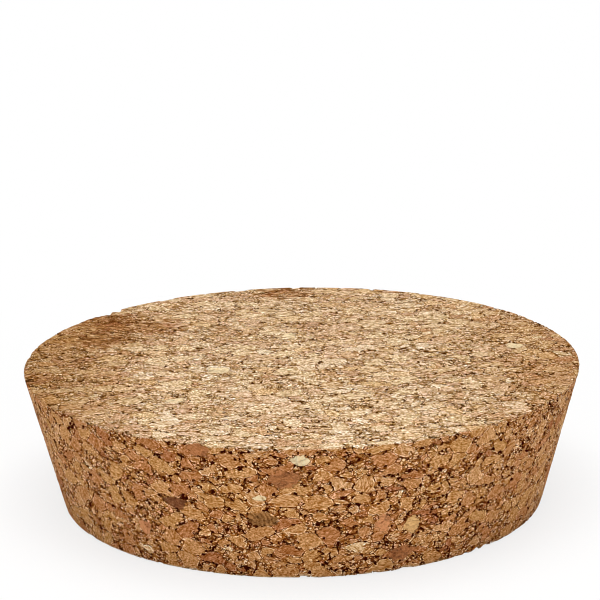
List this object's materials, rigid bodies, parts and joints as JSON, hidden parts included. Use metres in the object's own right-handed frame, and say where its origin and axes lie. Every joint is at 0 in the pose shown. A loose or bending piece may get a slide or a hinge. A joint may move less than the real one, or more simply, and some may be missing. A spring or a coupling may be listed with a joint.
{
  "type": "cork stopper",
  "caption": "Low, wide tapered stopper of agglomerated cork: a flat round plug, wider at the top than at the base, that closes the mouth of a storage jar.",
  "frame": {"origin": "centre of the narrow end's flat face, where the stopper stands", "axes": "+Z along the stopper's axis, from the narrow end to the wide end; X and Y are free because the stopper is round"},
  "size_m": [0.0998, 0.0998, 0.025],
  "materials": {
    "cork": "matte, sanded cork granules of mixed browns with open pits between them"
  },
  "bodies": {
    "root": {"stopper": "cork"}
  },
  "joints": []
}
